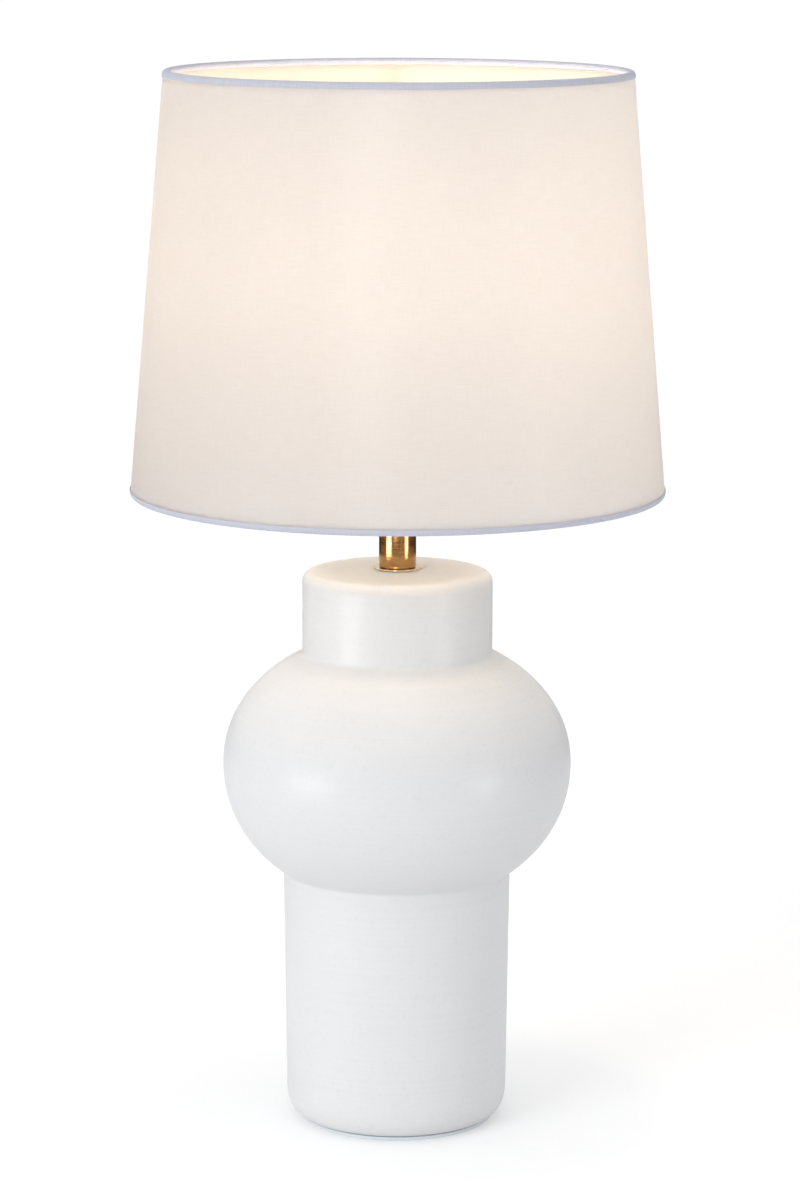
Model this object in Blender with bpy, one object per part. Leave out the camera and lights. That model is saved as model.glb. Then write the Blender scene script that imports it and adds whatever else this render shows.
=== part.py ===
# Table lamp: glazed ceramic base, short brass neck, E27 lampholder, bulb and tapered fabric shade.
# Metres, +Z up. The origin is the centre of the underside of the foot pad. The cable outlet faces +Y.

import math

import bmesh
import bpy
from mathutils import Matrix, Vector

# Clearance between pieces that touch on the real lamp
GAP = 0.0003

# Facets round the large and the small turned pieces
LARGE_SIDES = 48
SMALL_SIDES = 24

# Ceramic base
PAD_THICKNESS = 0.0016
PAD_RADIUS = 0.042
FOOT_RADIUS = 0.0481
FOOT_ROUND_WIDTH = 0.007
FOOT_ROUND_HEIGHT = 0.012
FOOT_OPENING_RADIUS = 0.030
PEDESTAL_TOP_RADIUS = 0.0493
BELLY_RADIUS = 0.0755
BELLY_CENTRE_Z = 0.1591
BELLY_UPPER_HEIGHT = 0.0567
BELLY_LOWER_HEIGHT = 0.0617
BELLY_UPPER_FULLNESS = 2.03
BELLY_LOWER_FULLNESS = 2.10
COLLAR_RADIUS = 0.0411
COLLAR_TOP_Z = 0.2427
COLLAR_DOME = 0.0010
COLLAR_SEAT_RADIUS = 0.0115
COLLAR_EDGE_RADIUS = 0.0045
CERAMIC_WALL = 0.005
CERAMIC_ROOF = 0.006

# Cable outlet low in the back of the pedestal
OUTLET_Z = 0.022
OUTLET_HOLE_RADIUS = 0.0053
BUSHING_BORE_RADIUS = 0.0035
BUSHING_FLANGE_RADIUS = 0.0070
BUSHING_FLANGE_THICKNESS = 0.0015

# Neck on an M10 threaded tube
THREAD_RADIUS = 0.0050
THREAD_BORE_RADIUS = 0.0035
ROOF_HOLE_RADIUS = 0.0058
COVER_TUBE_RADIUS = 0.0080
COVER_TUBE_WALL = 0.0008
COVER_TUBE_LENGTH = 0.0215
NECK_WASHER_RADIUS = 0.0103
NECK_WASHER_THICKNESS = 0.0005
RUBBER_WASHER_RADIUS = 0.0150
RUBBER_WASHER_THICKNESS = 0.0020
CLAMP_WASHER_RADIUS = 0.0140
CLAMP_WASHER_THICKNESS = 0.0012
LOCK_WASHER_RADIUS = 0.0082
LOCK_WASHER_THICKNESS = 0.0012
NUT_ACROSS_FLATS = 0.014
NUT_THICKNESS = 0.005

# E27 lampholder
HOLDER_RADIUS = 0.0190
HOLDER_WALL = 0.0016
HOLDER_BOSS_RADIUS = 0.0085
HOLDER_BOSS_HEIGHT = 0.0060
HOLDER_CAP_HEIGHT = 0.0237
SET_SCREW_RADIUS = 0.0013
SKIRT_RADIUS = 0.0198
SKIRT_WALL = 0.0016
SKIRT_HEIGHT = 0.0350
SEAT_RADIUS = 0.0260
SEAT_THICKNESS = 0.0018
SEAT_ABOVE_SKIRT_FOOT = 0.0072
INSULATOR_RADIUS = 0.0165
INSULATOR_BOTTOM_Z = 0.2845
INSULATOR_TOP_Z = 0.2955
SHELL_INNER_RADIUS = 0.0137
SHELL_THICKNESS = 0.0005
SHELL_HEIGHT = 0.0255
TERMINAL_SIZE = 0.006
TERMINAL_OFFSET = 0.0075
TERMINAL_SCREW_RADIUS = 0.0012
TERMINAL_HEAD_RADIUS = 0.0019

# A60 bulb on an E27 cap
BULB_TIP_Z = 0.2985
BULB_LENGTH = 0.105
BULB_RADIUS = 0.030
DIFFUSER_WALL = 0.0012
DIFFUSER_MOUTH_RADIUS = 0.0225
BULB_CAP_RADIUS = 0.0131
BULB_CAP_WALL = 0.0005
BULB_CAP_HEIGHT = 0.0215

# Shade
SHADE_BOTTOM_Z = 0.2765
SHADE_HEIGHT = 0.181
SHADE_TOP_RADIUS = 0.100
SHADE_BOTTOM_RADIUS = 0.115
FABRIC_THICKNESS = 0.0004
LINER_THICKNESS = 0.0005
WIRE_RADIUS = 0.0010
BINDING_RADIUS = 0.0020
BINDING_THICKNESS = 0.0003
BINDING_LEG = 0.0008

# Carrier that hangs the shade on the lampholder, and the ring that clamps it
CARRIER_HOLE_RADIUS = 0.0202
CARRIER_PLATE_RADIUS = 0.0290
CARRIER_PLATE_THICKNESS = 0.0010
ARM_RADIUS = 0.0015
ARM_LEVEL_RADIUS = 0.045
ARM_ANGLES = (90, 210, 330)
CLAMP_RING_FLANGE_RADIUS = 0.0275
CLAMP_RING_RADIUS = 0.0238
CLAMP_RING_FLANGE_HEIGHT = 0.0020
CLAMP_RING_HEIGHT = 0.0085
CLAMP_RING_GRIPS = 12

# Heights that follow from the values above
CERAMIC_BOTTOM_Z = PAD_THICKNESS + GAP
ROOF_UNDERSIDE_Z = COLLAR_TOP_Z - CERAMIC_ROOF
NECK_WASHER_Z = COLLAR_TOP_Z + COLLAR_DOME + GAP
COVER_TUBE_Z = NECK_WASHER_Z + NECK_WASHER_THICKNESS + GAP
HOLDER_CAP_Z = COVER_TUBE_Z + COVER_TUBE_LENGTH + GAP
SKIRT_Z = HOLDER_CAP_Z + HOLDER_CAP_HEIGHT + GAP
SEAT_Z = SKIRT_Z + SEAT_ABOVE_SKIRT_FOOT
CARRIER_Z = SEAT_Z + SEAT_THICKNESS + GAP
CLAMP_RING_Z = CARRIER_Z + CARRIER_PLATE_THICKNESS + GAP
SHELL_Z = INSULATOR_TOP_Z + GAP
BINDING_TOP_Z = SHADE_BOTTOM_Z + SHADE_HEIGHT - BINDING_RADIUS
BINDING_BOTTOM_Z = SHADE_BOTTOM_Z + BINDING_RADIUS
WALL_OUTER_OFFSET = BINDING_RADIUS - BINDING_THICKNESS - GAP


def clear_scene():
    for obj in list(bpy.data.objects):
        bpy.data.objects.remove(obj, do_unlink=True)


def make_material(name, colour, roughness, metallic=0.0):
    material = bpy.data.materials.new(name)
    material.use_nodes = True
    shader = material.node_tree.nodes["Principled BSDF"]
    shader.inputs["Base Color"].default_value = (*colour, 1.0)
    shader.inputs["Roughness"].default_value = roughness
    shader.inputs["Metallic"].default_value = metallic
    return material


def add_object(name, mesh, material):
    obj = bpy.data.objects.new(name, mesh)
    bpy.context.scene.collection.objects.link(obj)
    if material:
        mesh.materials.append(material)
    mesh.shade_smooth()
    mesh.set_sharp_from_angle(angle=math.radians(35))
    return obj


def finish_mesh(bm, name):
    bmesh.ops.remove_doubles(bm, verts=bm.verts, dist=1e-6)
    bmesh.ops.recalc_face_normals(bm, faces=bm.faces)
    mesh = bpy.data.meshes.new(name)
    bm.to_mesh(mesh)
    bm.free()
    return mesh


def arc(centre_r, centre_z, radius, start, end, steps, height=None):
    """Points along an arc in the (radius, height) plane, from one angle to another in degrees."""
    height = radius if height is None else height
    points = []
    for step in range(steps + 1):
        angle = math.radians(start + (end - start) * step / steps)
        points.append((centre_r + radius * math.cos(angle), centre_z + height * math.sin(angle)))
    return points


def turned(name, profile, material, sides):
    """A piece turned about Z from a closed outline of (radius, height) points."""
    bm = bmesh.new()
    verts = [bm.verts.new((r, 0.0, z)) for r, z in profile]
    edges = [bm.edges.new((a, b)) for a, b in zip(verts, verts[1:] + verts[:1])]
    bmesh.ops.spin(
        bm,
        geom=verts + edges,
        cent=(0, 0, 0),
        axis=(0, 0, 1),
        angle=math.tau,
        steps=sides,
        use_merge=True,
    )
    return add_object(name, finish_mesh(bm, name), material)


def tube(name, inner, outer, bottom, top, material, sides):
    profile = [(outer, top), (outer, bottom), (inner, bottom), (inner, top)]
    return turned(name, profile, material, sides)


def rod(name, radius, start, end, material=None, sides=SMALL_SIDES):
    """A solid cylinder from one point to another."""
    start, end = Vector(start), Vector(end)
    bm = bmesh.new()
    bmesh.ops.create_cone(
        bm, cap_ends=True, segments=sides, radius1=radius, radius2=radius, depth=(end - start).length
    )
    turn = (end - start).to_track_quat("Z", "Y").to_matrix().to_4x4()
    bmesh.ops.transform(bm, matrix=Matrix.Translation((start + end) / 2) @ turn, verts=bm.verts)
    return add_object(name, finish_mesh(bm, name), material)


def box(name, low, high, material=None):
    low, high = Vector(low), Vector(high)
    bm = bmesh.new()
    bmesh.ops.create_cube(bm, size=1.0)
    bmesh.ops.scale(bm, vec=high - low, verts=bm.verts)
    bmesh.ops.translate(bm, vec=(low + high) / 2, verts=bm.verts)
    return add_object(name, finish_mesh(bm, name), material)


def extruded(name, outline, direction, material=None):
    """A prism with a flat outline of 3-D points, carried along a direction."""
    bm = bmesh.new()
    face = bm.faces.new([bm.verts.new(point) for point in outline])
    grown = bmesh.ops.extrude_face_region(bm, geom=[face])
    moved = [item for item in grown["geom"] if isinstance(item, bmesh.types.BMVert)]
    bmesh.ops.translate(bm, vec=Vector(direction), verts=moved)
    return add_object(name, finish_mesh(bm, name), material)


def boolean(target, tool, operation):
    """Cuts a tool from the target or joins it on, and keeps the tool as a hidden guide."""
    tool.hide_render = True
    tool.display_type = "WIRE"
    modifier = target.modifiers.new(tool.name, "BOOLEAN")
    modifier.operation = operation
    modifier.object = tool


def belly_radius_angle(radius, fullness):
    """The angle above the equator at which the belly has narrowed to a radius."""
    return math.acos((radius / BELLY_RADIUS) ** (fullness / 2))


def belly_arc(angle_start, angle_end, steps, inset=0.0):
    """Points down the belly between two angles in radians, its outside or a wall's thickness inside it."""
    points = []
    for step in range(steps + 1):
        angle = angle_start + (angle_end - angle_start) * step / steps
        upper = angle >= 0
        fullness = BELLY_UPPER_FULLNESS if upper else BELLY_LOWER_FULLNESS
        height = BELLY_UPPER_HEIGHT if upper else BELLY_LOWER_HEIGHT
        radius = (BELLY_RADIUS - inset) * math.cos(angle) ** (2 / fullness)
        rise = (height - inset) * abs(math.sin(angle)) ** (2 / fullness)
        points.append((radius, BELLY_CENTRE_Z + math.copysign(rise, angle)))
    return points


def ceramic_base(material):
    """The slip-cast shell: collar, belly and pedestal in one piece, open below and holed at the top."""
    collar = belly_radius_angle(COLLAR_RADIUS, BELLY_UPPER_FULLNESS)
    pedestal = -belly_radius_angle(PEDESTAL_TOP_RADIUS, BELLY_LOWER_FULLNESS)
    inset = CERAMIC_WALL
    edge = COLLAR_EDGE_RADIUS
    seat_z = COLLAR_TOP_Z + COLLAR_DOME
    profile = [(ROOF_HOLE_RADIUS, seat_z), (COLLAR_SEAT_RADIUS, seat_z)]
    profile += arc(COLLAR_RADIUS - edge, COLLAR_TOP_Z - edge, edge, 90, 0, 3)
    profile += belly_arc(collar, pedestal, 12)
    profile += arc(
        FOOT_RADIUS - FOOT_ROUND_WIDTH,
        CERAMIC_BOTTOM_Z + FOOT_ROUND_HEIGHT,
        FOOT_ROUND_WIDTH,
        0,
        -90,
        4,
        FOOT_ROUND_HEIGHT,
    )
    profile += [
        (FOOT_OPENING_RADIUS, CERAMIC_BOTTOM_Z),
        (FOOT_OPENING_RADIUS, CERAMIC_BOTTOM_Z + CERAMIC_WALL),
        (FOOT_RADIUS - FOOT_ROUND_WIDTH / 2 - inset, CERAMIC_BOTTOM_Z + CERAMIC_WALL),
        (FOOT_RADIUS - inset, CERAMIC_BOTTOM_Z + FOOT_ROUND_HEIGHT),
    ]
    profile += belly_arc(pedestal, collar, 8, inset)
    profile += [(COLLAR_RADIUS - inset, ROOF_UNDERSIDE_Z), (ROOF_HOLE_RADIUS, ROOF_UNDERSIDE_Z)]
    base = turned("ceramic_base", profile, material, LARGE_SIDES)
    cutter = rod(
        "outlet_cutter",
        OUTLET_HOLE_RADIUS,
        (0, FOOT_RADIUS - 3 * CERAMIC_WALL, OUTLET_Z),
        (0, FOOT_RADIUS + CERAMIC_WALL, OUTLET_Z),
    )
    boolean(base, cutter, "DIFFERENCE")


def foot_pad(material):
    edge = PAD_THICKNESS / 4
    profile = [
        (0, PAD_THICKNESS),
        (PAD_RADIUS - edge, PAD_THICKNESS),
        (PAD_RADIUS, PAD_THICKNESS - edge),
        (PAD_RADIUS, edge),
        (PAD_RADIUS - edge, 0),
        (0, 0),
    ]
    turned("foot_pad", profile, material, LARGE_SIDES)


def cable_bushing(material):
    """A snap-in grommet that lines the outlet hole, with a flange on each side of the wall."""
    wall_outside = FOOT_RADIUS + 3 * GAP
    wall_inside = FOOT_RADIUS - CERAMIC_WALL - 4 * GAP
    body = OUTLET_HOLE_RADIUS - GAP
    flange = BUSHING_FLANGE_RADIUS
    thick = BUSHING_FLANGE_THICKNESS
    profile = [
        (BUSHING_BORE_RADIUS, wall_outside + thick),
        (flange - thick / 2, wall_outside + thick),
        (flange, wall_outside + thick / 2),
        (flange, wall_outside),
        (body, wall_outside),
        (body, wall_inside),
        (body + thick / 2, wall_inside),
        (body, wall_inside - 1.5 * thick),
        (BUSHING_BORE_RADIUS, wall_inside - 1.5 * thick),
    ]
    bushing = turned("cable_bushing", profile, material, SMALL_SIDES)
    # Turned about Z, then laid over so that its outer end looks along +Y
    bushing.data.transform(Matrix.Rotation(-math.pi / 2, 4, "X"))
    bushing.location = (0, 0, OUTLET_Z)


def neck(brass, steel, rubber):
    """The threaded tube with its cover tube and washer above the collar, and its fastenings below."""
    below = ROOF_UNDERSIDE_Z - GAP
    tube(
        "rubber_washer",
        ROOF_HOLE_RADIUS,
        RUBBER_WASHER_RADIUS,
        below - RUBBER_WASHER_THICKNESS,
        below,
        rubber,
        SMALL_SIDES,
    )
    below -= RUBBER_WASHER_THICKNESS + GAP
    hole = THREAD_RADIUS + GAP
    tube(
        "clamp_washer",
        hole,
        CLAMP_WASHER_RADIUS,
        below - CLAMP_WASHER_THICKNESS,
        below,
        steel,
        SMALL_SIDES,
    )
    below -= CLAMP_WASHER_THICKNESS + GAP
    lock = tube(
        "lock_washer",
        hole,
        LOCK_WASHER_RADIUS,
        below - LOCK_WASHER_THICKNESS,
        below,
        steel,
        SMALL_SIDES,
    )
    slit = box(
        "lock_washer_slit",
        (0, -GAP, below - 2 * LOCK_WASHER_THICKNESS),
        (2 * LOCK_WASHER_RADIUS, GAP, below + LOCK_WASHER_THICKNESS),
    )
    boolean(lock, slit, "DIFFERENCE")
    below -= LOCK_WASHER_THICKNESS + GAP
    nut = rod(
        "hex_nut",
        NUT_ACROSS_FLATS / math.sqrt(3),
        (0, 0, below - NUT_THICKNESS),
        (0, 0, below),
        steel,
        6,
    )
    bore = rod(
        "hex_nut_bore",
        hole,
        (0, 0, below - 2 * NUT_THICKNESS),
        (0, 0, below + NUT_THICKNESS),
    )
    boolean(nut, bore, "DIFFERENCE")
    tube(
        "threaded_tube",
        THREAD_BORE_RADIUS,
        THREAD_RADIUS,
        below - 1.5 * NUT_THICKNESS,
        HOLDER_CAP_Z + HOLDER_BOSS_HEIGHT,
        steel,
        SMALL_SIDES,
    )
    tube(
        "neck_washer",
        hole,
        NECK_WASHER_RADIUS,
        NECK_WASHER_Z,
        NECK_WASHER_Z + NECK_WASHER_THICKNESS,
        brass,
        SMALL_SIDES,
    )
    tube(
        "cover_tube",
        COVER_TUBE_RADIUS - COVER_TUBE_WALL,
        COVER_TUBE_RADIUS,
        COVER_TUBE_Z,
        COVER_TUBE_Z + COVER_TUBE_LENGTH,
        brass,
        LARGE_SIDES,
    )


def holder_cap(plastic, steel):
    """The domed lower half of the lampholder, threaded on the tube and locked by a set screw."""
    boss_top = HOLDER_CAP_Z + HOLDER_BOSS_HEIGHT
    top = HOLDER_CAP_Z + HOLDER_CAP_HEIGHT
    reach = HOLDER_RADIUS - HOLDER_BOSS_RADIUS
    outer = arc(HOLDER_BOSS_RADIUS, boss_top + reach, reach, 0, -90, 5)
    inner = arc(HOLDER_BOSS_RADIUS, boss_top + reach, reach - HOLDER_WALL, -90, 0, 5)
    hole = THREAD_RADIUS + GAP
    profile = [(HOLDER_RADIUS, top)]
    profile += outer
    profile += [(HOLDER_BOSS_RADIUS, HOLDER_CAP_Z), (hole, HOLDER_CAP_Z), (hole, boss_top + HOLDER_WALL)]
    profile += inner
    profile += [(HOLDER_RADIUS - HOLDER_WALL, top)]
    cap = turned("holder_cap", profile, plastic, SMALL_SIDES)
    screw_z = HOLDER_CAP_Z + HOLDER_BOSS_HEIGHT / 2
    bore = rod(
        "set_screw_bore",
        SET_SCREW_RADIUS + GAP,
        (0, THREAD_RADIUS - GAP, screw_z),
        (0, 2 * HOLDER_BOSS_RADIUS, screw_z),
    )
    boolean(cap, bore, "DIFFERENCE")
    rod(
        "set_screw",
        SET_SCREW_RADIUS,
        (0, THREAD_RADIUS + 2 * GAP, screw_z),
        (0, HOLDER_BOSS_RADIUS, screw_z),
        steel,
        12,
    )


def holder_skirt(material):
    """The upper half of the lampholder, with the seat that carries the shade and a thread above it."""
    top = SKIRT_Z + SKIRT_HEIGHT
    profile = [
        (SKIRT_RADIUS, top),
        (SKIRT_RADIUS, SEAT_Z + SEAT_THICKNESS),
        (SEAT_RADIUS, SEAT_Z + SEAT_THICKNESS),
        (SEAT_RADIUS, SEAT_Z),
        (SKIRT_RADIUS, SEAT_Z),
        (SKIRT_RADIUS, SKIRT_Z),
        (SKIRT_RADIUS - SKIRT_WALL, SKIRT_Z),
        (SKIRT_RADIUS - SKIRT_WALL, top - SKIRT_WALL),
        (SHELL_INNER_RADIUS + 2 * SHELL_THICKNESS + GAP, top - SKIRT_WALL),
        (SHELL_INNER_RADIUS + 2 * SHELL_THICKNESS + GAP, top),
    ]
    turned("holder_skirt", profile, material, SMALL_SIDES)


def terminal(name, side, brass, steel):
    """A brass block under the insulator with a hole for the wire and a screw that clamps it."""
    top = INSULATOR_BOTTOM_Z - GAP
    half = TERMINAL_SIZE / 2
    centre_x = side * TERMINAL_OFFSET
    block = box(
        name,
        (centre_x - half, -half, top - TERMINAL_SIZE),
        (centre_x + half, half, top),
        brass,
    )
    wire_hole = rod(
        name + "_wire_hole",
        TERMINAL_SCREW_RADIUS,
        (centre_x - side * half / 2, 0, top - 2 * TERMINAL_SIZE),
        (centre_x - side * half / 2, 0, top - half),
        sides=12,
    )
    boolean(block, wire_hole, "DIFFERENCE")
    screw_z = top - half
    screw_hole = rod(
        name + "_screw_hole",
        TERMINAL_SCREW_RADIUS + GAP,
        (centre_x - side * GAP, 0, screw_z),
        (centre_x + side * TERMINAL_SIZE, 0, screw_z),
        sides=12,
    )
    boolean(block, screw_hole, "DIFFERENCE")
    face_x = centre_x + side * half
    shank = rod(
        name + "_screw",
        TERMINAL_SCREW_RADIUS,
        (centre_x + side * GAP, 0, screw_z),
        (face_x + side * 2 * GAP, 0, screw_z),
        steel,
        12,
    )
    head = rod(
        name + "_screw_head",
        TERMINAL_HEAD_RADIUS,
        (face_x + side * GAP, 0, screw_z),
        (face_x + side * 5 * GAP, 0, screw_z),
        sides=12,
    )
    boolean(shank, head, "UNION")


def holder_inside(porcelain, brass, steel):
    """The insulator with its terminals below, and the contact and screw shell above it."""
    edge = 2 * GAP
    profile = [
        (0, INSULATOR_TOP_Z),
        (INSULATOR_RADIUS - edge, INSULATOR_TOP_Z),
        (INSULATOR_RADIUS, INSULATOR_TOP_Z - edge),
        (INSULATOR_RADIUS, INSULATOR_BOTTOM_Z + edge),
        (INSULATOR_RADIUS - edge, INSULATOR_BOTTOM_Z),
        (0, INSULATOR_BOTTOM_Z),
    ]
    turned("terminal_insulator", profile, porcelain, SMALL_SIDES)
    terminal("live_terminal", 1, brass, steel)
    terminal("neutral_terminal", -1, brass, steel)
    tube(
        "screw_shell",
        SHELL_INNER_RADIUS,
        SHELL_INNER_RADIUS + SHELL_THICKNESS,
        SHELL_Z,
        SHELL_Z + SHELL_HEIGHT,
        brass,
        SMALL_SIDES,
    )
    # A leaf spring: it lies on the insulator, ramps up and ends level under the bulb's tip
    leaf = 0.0004
    low = INSULATOR_TOP_Z + GAP
    high = BULB_TIP_Z - GAP
    half_width = 0.002
    outline = [
        (-0.0085, low),
        (-0.0050, low),
        (-0.0015, high - leaf),
        (0.0025, high - leaf),
        (0.0025, high),
        (-0.0017, high),
        (-0.0052, low + leaf),
        (-0.0085, low + leaf),
    ]
    extruded(
        "centre_contact",
        [(x, -half_width, z) for x, z in outline],
        (0, 2 * half_width, 0),
        brass,
    )


def bulb(diffuser, plastic, metal, dark, board):
    """The bulb in its screwed-in place, its parts from the tip contact up to the diffuser."""
    disc_top = BULB_TIP_Z + 0.0010
    contact = [(0, disc_top), (0.0048, disc_top), (0.0040, BULB_TIP_Z), (0, BULB_TIP_Z)]
    turned("bulb_contact", contact, metal, SMALL_SIDES)
    cone_z = disc_top + GAP
    cone = [(0, cone_z + 0.0020), (0.0096, cone_z + 0.0020), (0.0055, cone_z), (0, cone_z)]
    turned("bulb_insulator", cone, dark, SMALL_SIDES)
    cap_z = cone_z + 0.0020 + GAP
    cap_top = cap_z + BULB_CAP_HEIGHT
    wall = BULB_CAP_WALL
    cap = [
        (BULB_CAP_RADIUS, cap_top),
        (BULB_CAP_RADIUS, cap_z + 0.0022),
        (0.0103, cap_z),
        (0.0103 - wall, cap_z),
        (BULB_CAP_RADIUS - wall, cap_z + 0.0022 + wall / 2),
        (BULB_CAP_RADIUS - wall, cap_top),
    ]
    turned("bulb_cap", cap, metal, SMALL_SIDES)
    globe_z = BULB_TIP_Z + BULB_LENGTH - BULB_RADIUS
    mouth_drop = math.sqrt(BULB_RADIUS**2 - DIFFUSER_MOUTH_RADIUS**2)
    mouth_angle = math.degrees(math.asin(mouth_drop / BULB_RADIUS))
    mouth_z = globe_z - mouth_drop - 0.0045
    spigot = BULB_CAP_RADIUS - wall - GAP
    shoulder_z = cap_top + GAP
    rim = mouth_z - GAP
    housing = [
        (DIFFUSER_MOUTH_RADIUS, rim),
        (DIFFUSER_MOUTH_RADIUS - 0.0012, rim - 0.0060),
        (0.0165, shoulder_z + 0.0080),
        (0.0140, shoulder_z),
        (spigot, shoulder_z),
        (spigot, cap_top - 0.0100),
        (spigot - 0.0012, cap_top - 0.0100),
        (spigot - 0.0012, shoulder_z + 0.0020),
        (0.0150, shoulder_z + 0.0090),
        (DIFFUSER_MOUTH_RADIUS - 0.0026, rim - 0.0060),
        (DIFFUSER_MOUTH_RADIUS - 0.0014, rim),
    ]
    turned("bulb_housing", housing, plastic, SMALL_SIDES)
    tube("led_board", 0.0030, DIFFUSER_MOUTH_RADIUS - 0.0035, rim - 0.0042, rim - 0.0026, board, SMALL_SIDES)
    box(
        "driver_board",
        (-0.0070, -0.0008, cap_top - 0.0070),
        (0.0070, 0.0008, rim - 0.0050),
        board,
    )
    globe = arc(0, globe_z, BULB_RADIUS, 90, -mouth_angle, 10)
    globe += [
        (DIFFUSER_MOUTH_RADIUS - 0.0010, mouth_z),
        (DIFFUSER_MOUTH_RADIUS - 0.0010 - DIFFUSER_WALL, mouth_z),
    ]
    globe += arc(0, globe_z, BULB_RADIUS - DIFFUSER_WALL, -mouth_angle, 90, 10)
    turned("bulb_diffuser", globe, diffuser, SMALL_SIDES)


def shade_line(z):
    """The radius of the middle of the shade's edge roll at a height."""
    low = SHADE_BOTTOM_RADIUS - BINDING_RADIUS
    high = SHADE_TOP_RADIUS - BINDING_RADIUS
    along = (z - BINDING_BOTTOM_Z) / (BINDING_TOP_Z - BINDING_BOTTOM_Z)
    return low + (high - low) * along


def cone_wall(name, offset, thickness, short, material):
    """A thin cone, its outside at an offset from the rolls' middle line, its edges short of their middles."""
    bottom = BINDING_BOTTOM_Z + short
    top = BINDING_TOP_Z - short
    low = shade_line(bottom) + offset
    high = shade_line(top) + offset
    profile = [
        (high, top),
        (low, bottom),
        (low - thickness, bottom),
        (high - thickness, top),
    ]
    turned(name, profile, material, LARGE_SIDES)


def shade(fabric, liner, tape, steel):
    """The fabric on its stiff liner, and at each rim a wire ring inside a folded tape binding.

    The liner's edge stands against the wire. The fabric runs past the wire's outer side into the binding.
    """
    cone_wall("shade_fabric", WALL_OUTER_OFFSET, FABRIC_THICKNESS, 0, fabric)
    inner_offset = WALL_OUTER_OFFSET - FABRIC_THICKNESS - GAP
    cone_wall("shade_liner", inner_offset, LINER_THICKNESS, WIRE_RADIUS + GAP, liner)
    wire_offset = inner_offset - WIRE_RADIUS
    for place, z, up in (("top", BINDING_TOP_Z, 1), ("bottom", BINDING_BOTTOM_Z, -1)):
        middle = shade_line(z)
        wire = arc(middle + wire_offset, z, WIRE_RADIUS, 0, 315, 7)
        turned("shade_%s_wire" % place, wire, steel, LARGE_SIDES)
        leg_z = z - BINDING_LEG * up
        inner_radius = BINDING_RADIUS - BINDING_THICKNESS
        binding = [(middle + BINDING_RADIUS, leg_z)]
        binding += arc(middle, z, BINDING_RADIUS, 0, 180 * up, 6)
        binding += [(middle - BINDING_RADIUS, leg_z), (middle - inner_radius, leg_z)]
        binding += arc(middle, z, inner_radius, 180 * up, 0, 6)
        binding += [(middle + inner_radius, leg_z)]
        turned("shade_%s_binding" % place, binding, tape, LARGE_SIDES)


def carrier(steel):
    """The plate that sits on the lampholder, with three wire arms down to the bottom ring."""
    plate = tube(
        "shade_carrier",
        CARRIER_HOLE_RADIUS,
        CARRIER_PLATE_RADIUS,
        CARRIER_Z,
        CARRIER_Z + CARRIER_PLATE_THICKNESS,
        steel,
        SMALL_SIDES,
    )
    level = CARRIER_Z + CARRIER_PLATE_THICKNESS / 2
    end_radius = shade_line(BINDING_BOTTOM_Z) - BINDING_RADIUS - 2 * GAP
    path = [
        (CARRIER_PLATE_RADIUS - ARM_RADIUS, level),
        (ARM_LEVEL_RADIUS, level),
        (ARM_LEVEL_RADIUS + 0.004, level - GAP),
        (end_radius, BINDING_BOTTOM_Z + ARM_RADIUS),
    ]
    for number, degrees in enumerate(ARM_ANGLES, start=1):
        name = "carrier_arm_%d" % number
        curve = bpy.data.curves.new(name, "CURVE")
        curve.dimensions = "3D"
        curve.bevel_depth = ARM_RADIUS
        curve.bevel_resolution = 2
        curve.use_fill_caps = True
        spline = curve.splines.new("POLY")
        spline.points.add(len(path) - 1)
        angle = math.radians(degrees)
        for point, (r, z) in zip(spline.points, path):
            point.co = (r * math.cos(angle), r * math.sin(angle), z, 1)
        wire = bpy.data.objects.new(name + "_curve", curve)
        bpy.context.scene.collection.objects.link(wire)
        mesh = bpy.data.meshes.new_from_object(wire)
        bpy.data.objects.remove(wire, do_unlink=True)
        boolean(plate, add_object(name, mesh, None), "UNION")


def clamp_ring(material):
    """The threaded ring that clamps the carrier to its seat, with finger notches round its flange."""
    inner = SKIRT_RADIUS + GAP
    flange_top = CLAMP_RING_Z + CLAMP_RING_FLANGE_HEIGHT
    top = CLAMP_RING_Z + CLAMP_RING_HEIGHT
    profile = [
        (inner, top),
        (CLAMP_RING_RADIUS - 2 * GAP, top),
        (CLAMP_RING_RADIUS, top - 2 * GAP),
        (CLAMP_RING_RADIUS, flange_top),
        (CLAMP_RING_FLANGE_RADIUS, flange_top),
        (CLAMP_RING_FLANGE_RADIUS, CLAMP_RING_Z),
        (inner, CLAMP_RING_Z),
    ]
    ring = turned("clamp_ring", profile, material, LARGE_SIDES)
    for number in range(CLAMP_RING_GRIPS):
        angle = math.tau * (number + 0.5) / CLAMP_RING_GRIPS
        x = (CLAMP_RING_FLANGE_RADIUS + 2 * GAP) * math.cos(angle)
        y = (CLAMP_RING_FLANGE_RADIUS + 2 * GAP) * math.sin(angle)
        notch = rod(
            "clamp_ring_notch_%d" % (number + 1),
            0.0018,
            (x, y, CLAMP_RING_Z - GAP),
            (x, y, flange_top + GAP),
            sides=10,
        )
        boolean(ring, notch, "DIFFERENCE")


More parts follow.
